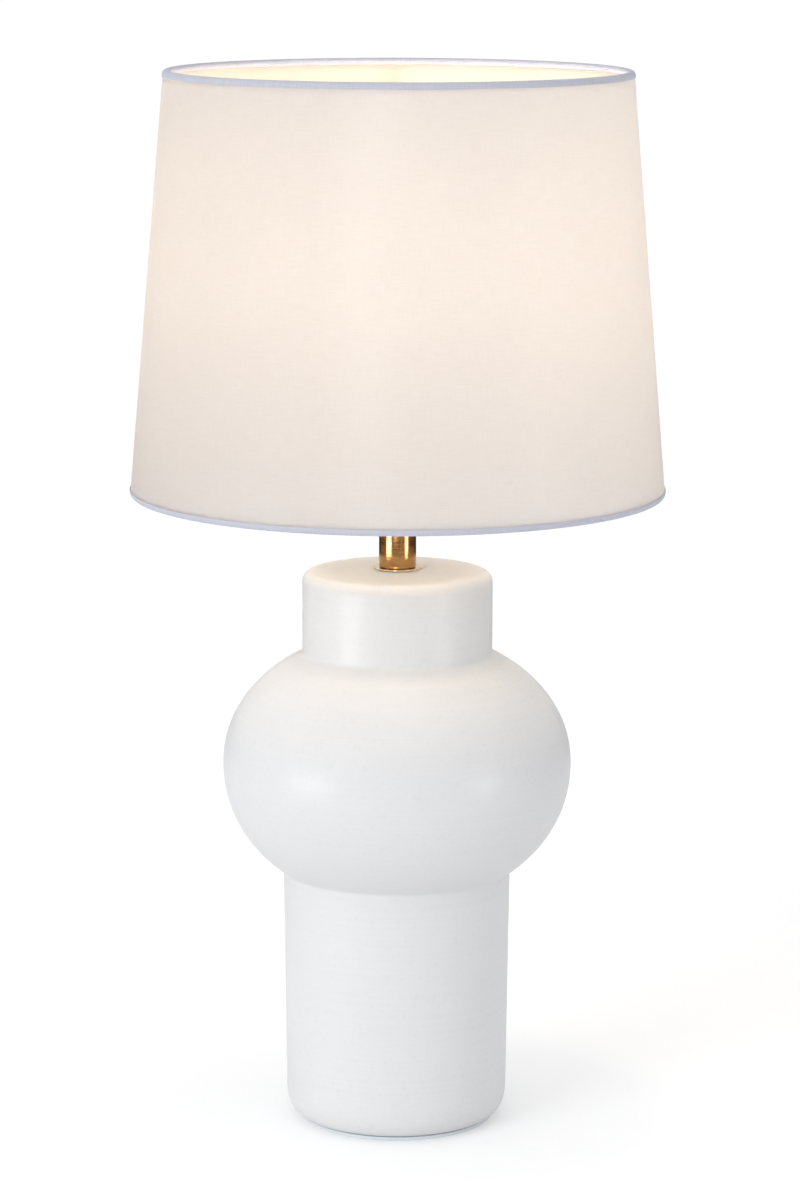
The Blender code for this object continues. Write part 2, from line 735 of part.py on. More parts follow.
def main():
    clear_scene()
    ceramic = make_material("ceramic", (0.86, 0.84, 0.80), 0.45)
    foam = make_material("pad_foam", (0.66, 0.72, 0.75), 0.9)
    brass = make_material("brass", (0.52, 0.33, 0.15), 0.3, 1.0)
    steel = make_material("zinc_steel", (0.60, 0.60, 0.61), 0.35, 1.0)
    white_steel = make_material("white_painted_steel", (0.85, 0.85, 0.84), 0.4)
    rubber = make_material("rubber", (0.06, 0.06, 0.06), 0.7)
    bushing = make_material("bushing_plastic", (0.80, 0.80, 0.78), 0.5)
    plastic = make_material("holder_plastic", (0.84, 0.84, 0.82), 0.4)
    porcelain = make_material("porcelain", (0.82, 0.81, 0.77), 0.35)
    nickel = make_material("nickel", (0.66, 0.64, 0.60), 0.25, 1.0)
    opal = make_material("opal_glass", (0.95, 0.93, 0.88), 0.3)
    black_glass = make_material("black_glass", (0.02, 0.02, 0.025), 0.15)
    board = make_material("circuit_board", (0.80, 0.82, 0.80), 0.5)
    fabric = make_material("shade_fabric", (0.83, 0.79, 0.73), 0.9)
    liner = make_material("shade_liner", (0.90, 0.88, 0.82), 0.6)
    tape = make_material("shade_tape", (0.74, 0.74, 0.76), 0.8)

    ceramic_base(ceramic)
    foot_pad(foam)
    cable_bushing(bushing)
    neck(brass, steel, rubber)
    holder_cap(plastic, steel)
    holder_skirt(plastic)
    holder_inside(porcelain, brass, steel)
    bulb(opal, plastic, nickel, black_glass, board)
    shade(fabric, liner, tape, steel)
    carrier(white_steel)
    clamp_ring(plastic)


main()
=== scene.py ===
import math

import bpy
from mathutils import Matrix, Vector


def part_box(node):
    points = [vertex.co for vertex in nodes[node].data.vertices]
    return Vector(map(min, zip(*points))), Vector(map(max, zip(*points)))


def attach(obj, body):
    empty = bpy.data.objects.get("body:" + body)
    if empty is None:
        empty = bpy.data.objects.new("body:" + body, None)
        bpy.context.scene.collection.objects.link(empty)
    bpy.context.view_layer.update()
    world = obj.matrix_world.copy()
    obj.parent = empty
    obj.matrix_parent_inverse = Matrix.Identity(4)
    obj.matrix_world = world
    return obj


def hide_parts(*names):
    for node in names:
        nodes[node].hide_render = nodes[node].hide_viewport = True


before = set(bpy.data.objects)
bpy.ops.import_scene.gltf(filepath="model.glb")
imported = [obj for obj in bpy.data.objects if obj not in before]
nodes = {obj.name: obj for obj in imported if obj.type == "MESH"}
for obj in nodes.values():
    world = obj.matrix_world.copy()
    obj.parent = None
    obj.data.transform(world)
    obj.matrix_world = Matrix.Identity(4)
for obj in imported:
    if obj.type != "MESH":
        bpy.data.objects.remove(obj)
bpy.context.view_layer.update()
print("frame loaded,", len(nodes), "pieces")


# Materials. A Wire is one socket, so that shader maths reads as ordinary sums.
class Wire:
    def __init__(self, tree, socket):
        self.tree = tree
        self.socket = socket

    def maths(self, operation, first, second):
        return addNode(self.tree, "ShaderNodeMath", {"operation": operation}, {0: first, 1: second})

    def sine(self):
        return self.maths("SINE", self, 0.0)

    def __add__(self, other):
        return self.maths("ADD", self, other)

    def __radd__(self, other):
        return self.maths("ADD", other, self)

    def __sub__(self, other):
        return self.maths("SUBTRACT", self, other)

    def __rsub__(self, other):
        return self.maths("SUBTRACT", other, self)

    def __mul__(self, other):
        return self.maths("MULTIPLY", self, other)

    def __rmul__(self, other):
        return self.maths("MULTIPLY", other, self)

    def __truediv__(self, other):
        return self.maths("DIVIDE", self, other)


def addNode(tree, kind, settings=None, sockets=None, out=0):
    node = tree.nodes.new(kind)
    for name, value in (settings or {}).items():
        if name == "stops":
            ramp = node.color_ramp.elements
            while len(ramp) < len(value):
                ramp.new(1.0)
            for stop, (place, colour) in zip(ramp, value):
                stop.position = place
                stop.color = colour
        else:
            setattr(node, name, value)
    for name, value in (sockets or {}).items():
        if isinstance(value, Wire):
            tree.links.new(value.socket, node.inputs[name])
        else:
            node.inputs[name].default_value = value
    return Wire(tree, node.outputs[out])


class Finish:
    def __init__(self, name, **constants):
        self.material = bpy.data.materials.new(name)
        self.material.use_nodes = True
        self.tree = self.material.node_tree
        self.shader = self.tree.nodes["Principled BSDF"]
        self.set(**constants)

    def set(self, **values):
        for name, value in values.items():
            socket = self.shader.inputs[name.replace("_", " ")]
            if isinstance(value, Wire):
                self.tree.links.new(value.socket, socket)
            else:
                socket.default_value = value

    def node(self, kind, settings=None, sockets=None, out=0):
        return addNode(self.tree, kind, settings, sockets, out)

    def place(self, scale=(1, 1, 1)):
        here = self.node("ShaderNodeTexCoord", out="Object")
        return self.node("ShaderNodeMapping", {}, {"Vector": here, "Scale": scale})

    def noise(self, where, scale, detail=2.0, roughness=0.5):
        values = {"Vector": where, "Scale": scale, "Detail": detail, "Roughness": roughness}
        return self.node("ShaderNodeTexNoise", {}, values)

    def ramp(self, value, stops):
        return self.node("ShaderNodeValToRGB", {"stops": stops}, {0: value})

    def blend(self, share, first, second, mode="MIX"):
        settings = {"data_type": "RGBA", "blend_type": mode}
        return self.node("ShaderNodeMix", settings, {0: share, 6: first, 7: second}, out=2)

    def bump(self, height, distance, strength=1.0):
        values = {"Height": height, "Distance": distance, "Strength": strength}
        self.set(Normal=self.node("ShaderNodeBump", {}, values))

    def around(self):
        # angle round the lamp's axis in radians, and height in metres
        here = self.node("ShaderNodeTexCoord", out="Object")
        split = self.node("ShaderNodeSeparateXYZ", {}, {0: here})
        across = split.socket.node.outputs
        x, y, z = (Wire(self.tree, across[number]) for number in range(3))
        return x.maths("ARCTAN2", y, x), z


def grey(value):
    return (value, value, value, 1)


def paintCeramic():
    finish = Finish("ceramicGlaze", Specular_IOR_Level=0.22, Coat_Weight=0.25, Coat_Roughness=0.28)
    turned = finish.noise(finish.place((10, 10, 1500)), 1.0, 3.0, 0.6)  # throwing lines round the form
    mottle = finish.noise(finish.place(), 420.0, 4.0, 0.65)
    cloud = finish.noise(finish.place(), 22.0, 2.0)
    tint = finish.blend(cloud, (0.718, 0.722, 0.732, 1), (0.748, 0.752, 0.762, 1))
    speck = finish.ramp(mottle, [(0.28, grey(0.955)), (0.46, grey(1.0))])
    tint = finish.blend(0.8, tint, speck, "MULTIPLY")
    lines = finish.ramp(turned, [(0.25, grey(0.978)), (0.6, grey(1.0))])
    finish.set(Base_Color=finish.blend(1.0, tint, lines, "MULTIPLY"))
    finish.set(Roughness=0.50 + 0.14 * mottle)
    finish.bump(turned * 0.5 + mottle * 0.3, 0.00010)
    return finish.material


def paintBrass(name, light, dark, brush, depth):
    # brush is the scale of the polishing lines along each axis
    finish = Finish(name, Metallic=1.0)
    lines = finish.noise(finish.place(brush), 1.0, 4.0, 0.7)
    stain = finish.noise(finish.place(), 260.0, 3.0, 0.6)
    worn = finish.ramp(stain, [(0.35, grey(0.0)), (0.75, grey(1.0))])
    finish.set(Base_Color=finish.blend(lines * 0.5 + worn * 0.4, light, dark))
    finish.set(Roughness=0.08 + 0.12 * lines)
    finish.bump(lines, depth)
    return finish.material


def paintMetal(name, colour, roughness, scale=(900, 900, 60)):
    finish = Finish(name, Metallic=1.0)
    lines = finish.noise(finish.place(scale), 1.0, 3.0, 0.6)
    spots = finish.noise(finish.place(), 700.0, 2.0)
    darker = (colour[0] * 0.8, colour[1] * 0.8, colour[2] * 0.82, 1)
    finish.set(Base_Color=finish.blend(lines * 0.6 + spots * 0.3, (*colour, 1), darker))
    finish.set(Roughness=roughness + 0.15 * lines)
    finish.bump(lines, 0.00002)
    return finish.material


def paintPlastic(name, colour, roughness, texture=0.00004):
    finish = Finish(name)
    grain = finish.noise(finish.place(), 1800.0, 3.0, 0.6)
    cloud = finish.noise(finish.place(), 45.0, 2.0)
    darker = (colour[0] * 0.93, colour[1] * 0.93, colour[2] * 0.92, 1)
    finish.set(Base_Color=finish.blend(cloud * 0.7 + grain * 0.3, (*colour, 1), darker))
    finish.set(Roughness=roughness + 0.12 * grain)
    finish.bump(grain, texture)
    return finish.material


def paintFoam():
    finish = Finish("padFoam", Roughness=0.92)
    cells = finish.node("ShaderNodeTexVoronoi", {}, {"Vector": finish.place(), "Scale": 2600.0})
    cloud = finish.noise(finish.place(), 60.0)
    tint = finish.blend(cloud, (0.66, 0.71, 0.74, 1), (0.74, 0.79, 0.82, 1))
    # each cell is painted darker towards its middle, where the bump sinks in: painted shade in the foam's
    # pores
    shadedPores = finish.ramp(cells, [(0.0, grey(0.82)), (0.5, grey(1.0))])
    finish.set(Base_Color=finish.blend(1.0, tint, shadedPores, "MULTIPLY"))
    finish.bump(cells, 0.00012)
    return finish.material


def lightThrough(finish, colour, share):
    # part of the light goes through the sheet and leaves on its other side
    through = finish.node("ShaderNodeBsdfTranslucent", {}, {"Color": colour})
    front = Wire(finish.tree, finish.shader.outputs[0])
    both = finish.node("ShaderNodeMixShader", {}, {0: share, 1: front, 2: through})
    finish.tree.links.new(both.socket, finish.tree.nodes["Material Output"].inputs["Surface"])


def weave(finish, along, up, spacing):
    # plain weave: yarns over and under by turns, each with its own thickness along its length
    across = along / spacing
    rise = up / spacing
    where = finish.node("ShaderNodeCombineXYZ", {}, {0: across, 1: rise, 2: 0.0})
    weft = finish.node("ShaderNodeMapping", {}, {"Vector": where, "Scale": (0.05, 0.95, 1)})
    warp = finish.node("ShaderNodeMapping", {}, {"Vector": where, "Scale": (0.95, 0.05, 1)})
    weftSlub = finish.noise(weft, 1.0, 2.0, 0.6)
    warpSlub = finish.noise(warp, 1.0, 2.0, 0.6)
    waveAcross = (across * math.pi).sine()
    waveUp = (rise * math.pi).sine()
    # over is 1 where the weft lies on top and 0 where the warp does
    over = waveAcross * waveUp * 0.5 + 0.5
    weftYarn = (waveUp * waveUp) * 0.55 + weftSlub * 0.75
    warpYarn = (waveAcross * waveAcross) * 0.55 + warpSlub * 0.6
    height = weftYarn * over + warpYarn * (1.0 - over)
    return height, weftSlub, warpSlub


def paintShadeFabric(sizes):
    sheen = {"Specular_IOR_Level": 0.4, "Coat_Weight": 0.38, "Coat_Roughness": 0.3}
    finish = Finish("shadeFabric", Roughness=0.5, **sheen)
    flat = finish.node("ShaderNodeTexCoord", out="UV")
    split = finish.node("ShaderNodeSeparateXYZ", {}, {0: flat}).socket.node.outputs
    along = Wire(finish.tree, split[0]) * sizes["around"]
    up = Wire(finish.tree, split[1]) * sizes["slant"]
    height, weftSlub, warpSlub = weave(finish, along, up, sizes["yarn"])
    # the low parts of the weave take the darker colour: painted shade between the yarns
    shade = finish.ramp(height, [(0.15, grey(1.0)), (0.85, grey(0.0))])
    tint = finish.blend(shade, (0.950, 0.928, 0.960, 1), (0.890, 0.864, 0.888, 1))
    streak = finish.ramp(weftSlub * 0.6 + warpSlub * 0.4, [(0.32, grey(0.925)), (0.60, grey(1.0))])
    tint = finish.blend(1.0, tint, streak, "MULTIPLY")
    finish.set(Base_Color=tint)
    finish.bump(height, 0.00016, 0.8)
    # yarns that lie on top of each other let less light through
    lightThrough(finish, (0.90, 0.87, 0.815, 1), sizes["through"] * (1.10 - 0.18 * height))
    return finish.material


def paintLiner(share):
    finish = Finish("shadeLiner", Roughness=0.45)
    grain = finish.noise(finish.place(), 900.0, 3.0)
    cloud = finish.noise(finish.place(), 30.0)
    # the liner takes a cream colour, warmer than the white styrene it is: painted warm lamplight; the cloud
    # varies its tone at random
    tint = finish.blend(cloud, (0.87, 0.82, 0.71, 1), (0.90, 0.85, 0.74, 1))
    finish.set(Base_Color=tint)
    finish.bump(grain, 0.00005)
    lightThrough(finish, (0.95, 0.945, 0.93, 1), share)
    return finish.material


def paintTape(radius, yarn, through):
    finish = Finish("shadeTape", Roughness=0.8, Specular_IOR_Level=0.3)
    angle, z = finish.around()
    height, _, warpSlub = weave(finish, angle * radius, z, yarn)
    # the tape is painted a grey-blue far darker than the white cloth it is: painted shade on the rolled edge,
    # which the lamp doesn't light from behind; its low yarns take the darker of the two colours, painted
    # shade between the yarns
    tint = finish.blend(height, (0.52, 0.53, 0.61, 1), (0.66, 0.67, 0.76, 1))
    streak = finish.ramp(warpSlub, [(0.3, grey(0.92)), (0.6, grey(1.0))])
    finish.set(Base_Color=finish.blend(1.0, tint, streak, "MULTIPLY"))
    finish.bump(height, 0.00012, 0.6)
    lightThrough(finish, (0.95, 0.95, 0.97, 1), through)
    return finish.material


def paintDiffuser(mouth, top, glow):
    # brightest just above the light board, and dimmer towards the top of the globe
    finish = Finish("bulbDiffuser", Roughness=0.35)
    z = finish.around()[1]
    grain = finish.noise(finish.place(), 500.0, 2.0)
    rise = (z - mouth) / (top - mouth)
    stops = [(0.0, (0.90, 0.74, 0.56, 1)), (0.35, (1.0, 0.85, 0.70, 1)), (1.0, (0.76, 0.66, 0.56, 1))]
    finish.set(Base_Color=finish.blend(grain, (0.90, 0.88, 0.84, 1), (0.96, 0.94, 0.90, 1)))
    finish.set(Emission_Color=finish.ramp(rise, stops), Emission_Strength=glow)
    return finish.material


# Modelling helpers
def drawLine(name, points):
    # a single vertex, carried from point to point
    bpy.ops.object.select_all(action="DESELECT")
    bpy.ops.mesh.primitive_plane_add(size=0.002, location=(0, 0, 0))
    piece = bpy.context.object
    piece.name = name
    piece.data.name = name
    bpy.ops.object.mode_set(mode="EDIT")
    bpy.ops.mesh.select_all(action="SELECT")
    bpy.ops.mesh.merge(type="CENTER")
    bpy.ops.transform.translate(value=points[0])
    for last, point in zip(points, points[1:]):
        step = tuple(b - a for a, b in zip(last, point))
        bpy.ops.mesh.extrude_vertices_move(TRANSFORM_OT_translate={"value": step})
    return piece


def spinLine(piece, sides, centre=(0, 0, 0), axis=(0, 0, 1)):
    bpy.ops.mesh.select_all(action="SELECT")
    bpy.ops.mesh.spin(steps=sides, angle=math.tau, center=centre, axis=axis)
    closeUp()
    return piece


def closeUp(corner=34):
    # merges doubles, turns the faces outwards and leaves edit mode
    bpy.ops.mesh.select_all(action="SELECT")
    bpy.ops.mesh.remove_doubles(threshold=0.000002)
    bpy.ops.mesh.normals_make_consistent(inside=False)
    bpy.ops.object.mode_set(mode="OBJECT")
    bpy.ops.object.shade_smooth_by_angle(angle=math.radians(corner))


def turnPiece(name, outline, sides=96):
    # a solid of revolution from a closed outline of (radius, height)
    points = [(r, 0.0, z) for r, z in outline + outline[:1]]
    return spinLine(drawLine(name, points), sides)


def bend(centre, middle, radius, start, end, steps, height=None):
    # points on an arc, angles in degrees
    height = radius if height is None else height
    points = []
    for step in range(steps + 1):
        angle = math.radians(start + (end - start) * step / steps)
        points.append((centre + radius * math.cos(angle), middle + height * math.sin(angle)))
    return points


def straight(radius, low, high, steps):
    # rings up a cylinder wall, left for a thread to be cut in
    return [(radius, low + (high - low) * step / steps) for step in range(steps + 1)]


def softCorner(first, corner, last, steps):
    # points on a curve from first to last that leans towards the corner
    points = []
    for step in range(steps + 1):
        t = step / steps
        points.append(
            tuple((1 - t) ** 2 * a + 2 * t * (1 - t) * b + t * t * c for a, b, c in zip(first, corner, last))
        )
    return points


def cutThread(piece, radii, heights, depth, pitch, runout):
    # presses a helix into the wall between two radii and two heights, fading out at both ends
    inner, outer = radii
    low, high = heights
    for vertex in piece.data.vertices:
        x, y, z = vertex.co
        radius = math.hypot(x, y)
        if not inner <= radius <= outer or not low <= z <= high:
            continue
        turn = math.atan2(y, x) / math.tau
        wave = 0.5 - 0.5 * math.cos(math.tau * (z / pitch - turn))
        fade = min(1.0, (z - low) / runout, (high - z) / runout)
        moved = radius - depth * wave * fade
        vertex.co.x = x * moved / radius
        vertex.co.y = y * moved / radius


def useModifier(piece, kind, **values):
    bpy.ops.object.select_all(action="DESELECT")
    bpy.context.view_layer.objects.active = piece
    piece.select_set(True)
    modifier = piece.modifiers.new(kind.lower(), kind)
    for name, value in values.items():
        setattr(modifier, name, value)
    bpy.ops.object.modifier_apply(modifier=modifier.name)


def cutAway(piece, cutter):
    useModifier(piece, "BOOLEAN", operation="DIFFERENCE", solver="EXACT", object=cutter)
    bpy.data.objects.remove(cutter, do_unlink=True)


def settle(piece, body, material, replaced):
    # gives a finished piece its material, its body and the piece of the frame that it stands for
    piece.data.materials.clear()
    piece.data.materials.append(material)
    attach(piece, body)
    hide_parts(replaced)


# Ceramic base
baseSizes = {
    "holeRadius": 0.0058,
    "holeEdge": 0.0006,
    "seatRadius": 0.0115,
    "seatEase": 0.006,
    "collarDome": 0.0010,
    "domeFoot": (0.026, 0.0004),
    "collarRadius": 0.0411,
    "collarEdge": 0.0045,
    "bellyRadius": 0.0755,
    "bellyMiddle": 0.1591,
    "bellyUp": 0.0567,
    "bellyDown": 0.0617,
    "fullnessUp": 2.03,
    "fullnessDown": 2.10,
    "creaseAbove": 0.0018,  # how far the soft creases reach up the collar and down the pedestal
    "creaseBelow": 0.0012,
    "creaseTurns": (0.035, 0.012),  # and round the belly, in radians
    "pedestalTop": 0.0493,
    "footRadius": 0.0481,
    "footRoundWidth": 0.007,
    "footRoundHeight": 0.012,
    "footOpening": 0.030,
    "openingEdge": 0.0015,
    "wall": 0.005,
    "roof": 0.006,
    "outletHeight": 0.022,
    "outletRadius": 0.0053,
    "sides": 160,
}


def bellyPoint(s, angle, inset=0.0):
    up = angle >= 0
    fullness = s["fullnessUp"] if up else s["fullnessDown"]
    height = (s["bellyUp"] if up else s["bellyDown"]) - inset
    radius = (s["bellyRadius"] - inset) * math.cos(angle) ** (2 / fullness)
    rise = height * abs(math.sin(angle)) ** (2 / fullness)
    return radius, s["bellyMiddle"] + math.copysign(rise, angle)


def bellyAngle(s, radius, fullness):
    return math.acos((radius / s["bellyRadius"]) ** (fullness / 2))


def makeBase(s):
    low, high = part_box("ceramic_base")
    floor, seat = low.z, high.z
    top = seat - s["collarDome"]
    edge = s["collarEdge"]
    shoulder = bellyAngle(s, s["collarRadius"], s["fullnessUp"])
    waist = -bellyAngle(s, s["pedestalTop"], s["fullnessDown"])
    creaseTop = bellyPoint(s, shoulder)[1]
    creaseLow = bellyPoint(s, waist)[1]
    hole, collar, pedestal = s["holeRadius"], s["collarRadius"], s["pedestalTop"]
    # outside, from the hole in the collar down to the foot
    outline = [(hole, seat - s["holeEdge"]), (hole + s["holeEdge"], seat)]
    domeRadius, domeRise = s["domeFoot"]
    seatEnd = s["seatRadius"] + s["seatEase"]
    outline += softCorner((s["seatRadius"], seat), (seatEnd, seat), (domeRadius, top + domeRise), 4)
    outline += bend(collar - edge, top - edge, edge, 90, 0, 10)
    start, end = shoulder - s["creaseTurns"][0], waist + s["creaseTurns"][1]
    creaseStart = (collar, creaseTop + s["creaseAbove"])
    outline += softCorner(creaseStart, (collar, creaseTop), bellyPoint(s, start), 6)
    outline += [bellyPoint(s, start + (end - start) * step / 48) for step in range(1, 49)]
    creaseEnd = (pedestal, creaseLow - s["creaseBelow"])
    outline += softCorner(bellyPoint(s, end), (pedestal, creaseLow), creaseEnd, 4)[1:]
    foot, roundWidth, roundHeight = s["footRadius"], s["footRoundWidth"], s["footRoundHeight"]
    roundTop = floor + roundHeight
    outline += bend(foot - roundWidth, roundTop, roundWidth, 0, -90, 12, roundHeight)
    # inside, back up to the hole
    wall, opening = s["wall"], s["footOpening"]
    outline += [(opening + s["openingEdge"], floor), (opening, floor + s["openingEdge"])]
    outline += [(opening, floor + wall), (foot - roundWidth / 2 - wall, floor + wall)]
    outline += [(foot - wall, roundTop)]
    outline += [bellyPoint(s, waist + (shoulder - waist) * step / 20, wall) for step in range(21)]
    outline += [(collar - wall, top - s["roof"]), (hole, top - s["roof"])]
    piece = turnPiece("ceramicBase", outline, s["sides"])
    bpy.ops.object.select_all(action="DESELECT")
    bpy.ops.mesh.primitive_cylinder_add(
        vertices=48,
        radius=s["outletRadius"],
        depth=0.03,
        location=(0, foot, s["outletHeight"]),
        rotation=(math.pi / 2, 0, 0),
    )
    cutAway(piece, bpy.context.object)
    settle(piece, "stand", paintCeramic(), "ceramic_base")


makeBase(baseSizes)
print("base turned")


# Foot pad and cable bushing
padSizes = {"edgeShare": 0.3, "sides": 128}  # edge radius as a share of the thickness


def makePad(s):
    low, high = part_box("foot_pad")
    radius, thick = high.x, high.z
    edge = thick * s["edgeShare"]
    outline = [(0, thick), (radius - edge, thick)]
    outline += bend(radius - edge, thick - edge, edge, 60, 0, 3)
    outline += bend(radius - edge, edge, edge, 0, -90, 4)
    outline += [(0, 0)]
    piece = turnPiece("footPad", outline, s["sides"])
    settle(piece, "stand", paintFoam(), "foot_pad")


bushingSizes = {"bore": 0.0035, "body": 0.0050, "thick": 0.0015, "height": 0.022, "sides": 48}


def makeBushing(s):
    low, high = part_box("cable_bushing")
    flange, bore, body, thick = high.x, s["bore"], s["body"], s["thick"]
    lip = high.y - thick
    inside = low.y
    profile = [
        (bore, high.y - 0.0006),
        (bore + 0.0006, high.y),
        (flange - 0.0010, high.y),
        (flange - 0.0003, high.y - 0.0003),
        (flange, high.y - 0.0009),
        (flange, lip),
        (body, lip),
        (body, inside + 1.5 * thick),
        (body + thick / 2, inside + 1.5 * thick),
        (body, inside),
        (bore, inside),
    ]
    points = [(0, y, s["height"] + r) for r, y in profile + profile[:1]]
    piece = spinLine(drawLine("cableBushing", points), s["sides"], (0, 0, s["height"]), (0, 1, 0))
    paint = paintPlastic("bushingPlastic", (0.80, 0.80, 0.78), 0.5)
    settle(piece, "stand", paint, "cable_bushing")


makePad(padSizes)
makeBushing(bushingSizes)
print("foot and outlet made")

# Neck
neckSizes = {
    "tubeWall": 0.0008,
    "washerHole": 0.0053,
    "edge": 0.00025,
    "bore": 0.0035,
    "threadPitch": 0.001,
    "threadDepth": 0.0005,
    "runout": 0.002,
    "threadRings": 6,  # rings of points to a turn of thread
}


def roundedTube(name, node, inner, edge):
    # a tube or washer in the node's place, its two outer edges rounded
    low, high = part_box(node)
    outline = [(inner, high.z), (high.x - edge, high.z)]
    outline += bend(high.x - edge, high.z - edge, edge, 60, 0, 2)
    outline += bend(high.x - edge, low.z + edge, edge, 0, -90, 3) + [(inner, low.z)]
    return turnPiece(name, outline)


def makeNeck(s):
    pale, tan = (0.95, 0.82, 0.62, 1), (0.86, 0.70, 0.48, 1)
    polished = paintBrass("washerBrass", pale, tan, (300, 300, 300), 0.00002)
    washer = roundedTube("neckWasher", "neck_washer", s["washerHole"], s["edge"])
    settle(washer, "stand", polished, "neck_washer")
    golden, brown = (0.60, 0.34, 0.14, 1), (0.40, 0.20, 0.065, 1)
    brushed = paintBrass("neckBrass", golden, brown, (25, 25, 2400), 0.00005)
    tube = roundedTube("coverTube", "cover_tube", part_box("cover_tube")[1].x - s["tubeWall"], s["edge"])
    settle(tube, "stand", brushed, "cover_tube")
    low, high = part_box("threaded_tube")
    bore = s["bore"]
    count = int((high.z - low.z) / s["threadPitch"] * s["threadRings"])
    outline = straight(high.x, low.z, high.z, count)[::-1] + [(bore, low.z), (bore, high.z)]
    rod = turnPiece("threadedTube", outline, 32)
    cutThread(rod, (bore + 0.001, 1), (low.z, high.z), s["threadDepth"], s["threadPitch"], s["runout"])
    settle(rod, "stand", paintMetal("threadSteel", (0.62, 0.62, 0.64), 0.25), "threaded_tube")


makeNeck(neckSizes)
print("neck made")

# Lampholder: cap, skirt with the shade's seat, and screw shell
holderSizes = {
    "wall": 0.0016,
    "bossRadius": 0.0085,
    "bossHeight": 0.0060,
    "entry": 0.0053,
    "skirtRadius": 0.0198,
    "seatThick": 0.0018,
    "seatUp": 0.0072,
    "threadPitch": 0.003,
    "threadDepth": 0.0007,
    "threadRunout": 0.0015,
    "threadRings": 10,
    "mouth": 0.0150,
    "shellWall": 0.0005,
    "lampPitch": 0.00363,
    "lampDepth": 0.0010,
    "lampRunout": 0.002,
    "lampRings": 12,
    "screwGap": 0.0002,
    "edge": 0.0005,
}


def makeHolder(s):
    plastic = paintPlastic("holderPlastic", (0.84, 0.84, 0.82), 0.38)
    low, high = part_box("holder_cap")
    radius, boss, wall, edge = high.x, s["bossRadius"], s["wall"], s["edge"]
    bossTop = low.z + s["bossHeight"]
    reach = radius - boss
    outline = [(radius, high.z - 0.0004), (radius, bossTop + reach)]
    outline += bend(boss, bossTop + reach, reach, 0, -84, 14)
    outline += [(boss, bossTop - 0.0006), (boss, low.z + edge), (boss - edge, low.z)]
    outline += [(s["entry"], low.z), (s["entry"], bossTop + wall)]
    outline += bend(boss, bossTop + reach, reach - wall, -90, 0, 10)
    outline += [(radius - wall, high.z), (radius - 0.0004, high.z)]
    cap = turnPiece("holderCap", outline)
    screwLow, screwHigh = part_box("set_screw")
    bpy.ops.object.select_all(action="DESELECT")
    bpy.ops.mesh.primitive_cylinder_add(
        vertices=24,
        radius=screwHigh.x + s["screwGap"],
        depth=0.006,
        location=(0, boss, (screwLow.z + screwHigh.z) / 2),
        rotation=(math.pi / 2, 0, 0),
    )
    cutAway(cap, bpy.context.object)
    settle(cap, "stand", plastic, "holder_cap")
    low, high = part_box("holder_skirt")
    seatLow = low.z + s["seatUp"]
    seatTop = seatLow + s["seatThick"]
    radius, mouth = s["skirtRadius"], s["mouth"]
    count = int((high.z - seatTop) / s["threadPitch"] * s["threadRings"])
    outline = straight(radius, seatTop, high.z - 0.0006, count)[::-1]
    outline += [(high.x - 0.0006, seatTop)] + bend(high.x - edge, seatTop - edge, edge, 60, 0, 2)
    outline += bend(high.x - edge, seatLow + edge, edge, 0, -90, 3)
    outline += [(radius, seatLow), (radius, low.z), (radius - wall, low.z), (radius - wall, high.z - wall)]
    outline += [(mouth, high.z - wall), (mouth, high.z - edge), (mouth + edge, high.z)]
    outline += [(radius - 0.0012, high.z)]
    skirt = turnPiece("holderSkirt", outline)
    threaded = (radius - 0.0003, radius + 0.0001)
    heights = (seatTop + 0.0002, high.z - 0.0004)
    cutThread(skirt, threaded, heights, s["threadDepth"], s["threadPitch"], s["threadRunout"])
    settle(skirt, "stand", plastic, "holder_skirt")
    low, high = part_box("screw_shell")
    count = int((high.z - low.z) / s["lampPitch"] * s["lampRings"])
    outline = straight(high.x, low.z, high.z, count)[::-1]
    outline += straight(high.x - s["shellWall"], low.z, high.z, count)
    shell = turnPiece("screwShell", outline, 72)
    heights = (low.z + 0.001, high.z - 0.001)
    cutThread(shell, (0, 1), heights, s["lampDepth"], s["lampPitch"], s["lampRunout"])
    contact = paintMetal("contactBrass", (0.74, 0.54, 0.26), 0.22)
    settle(shell, "stand", contact, "screw_shell")
    return plastic, contact


holderPaint, contactPaint = makeHolder(holderSizes)
print("lampholder made")

# Bulb
bulbSizes = {
    "glow": 24.6,
    "capWall": 0.0005,
    "capNeck": 0.0103,
    "capShoulder": 0.0022,
    "pitch": 0.00363,
    "threadDepth": 0.0010,
    "threadRunout": 0.0025,
    "threadRings": 12,
    "spigot": 0.0123,  # part of the housing that goes down into the cap
    "spigotWall": 0.0012,
    "housingFoot": 0.0142,
    "housingRise": 0.0140,
    "rimDrop": 0.0030,
    "rimWall": 0.0014,
    "globeMouth": 0.0225,
    "globeWall": 0.0012,
    "gap": 0.0003,
}


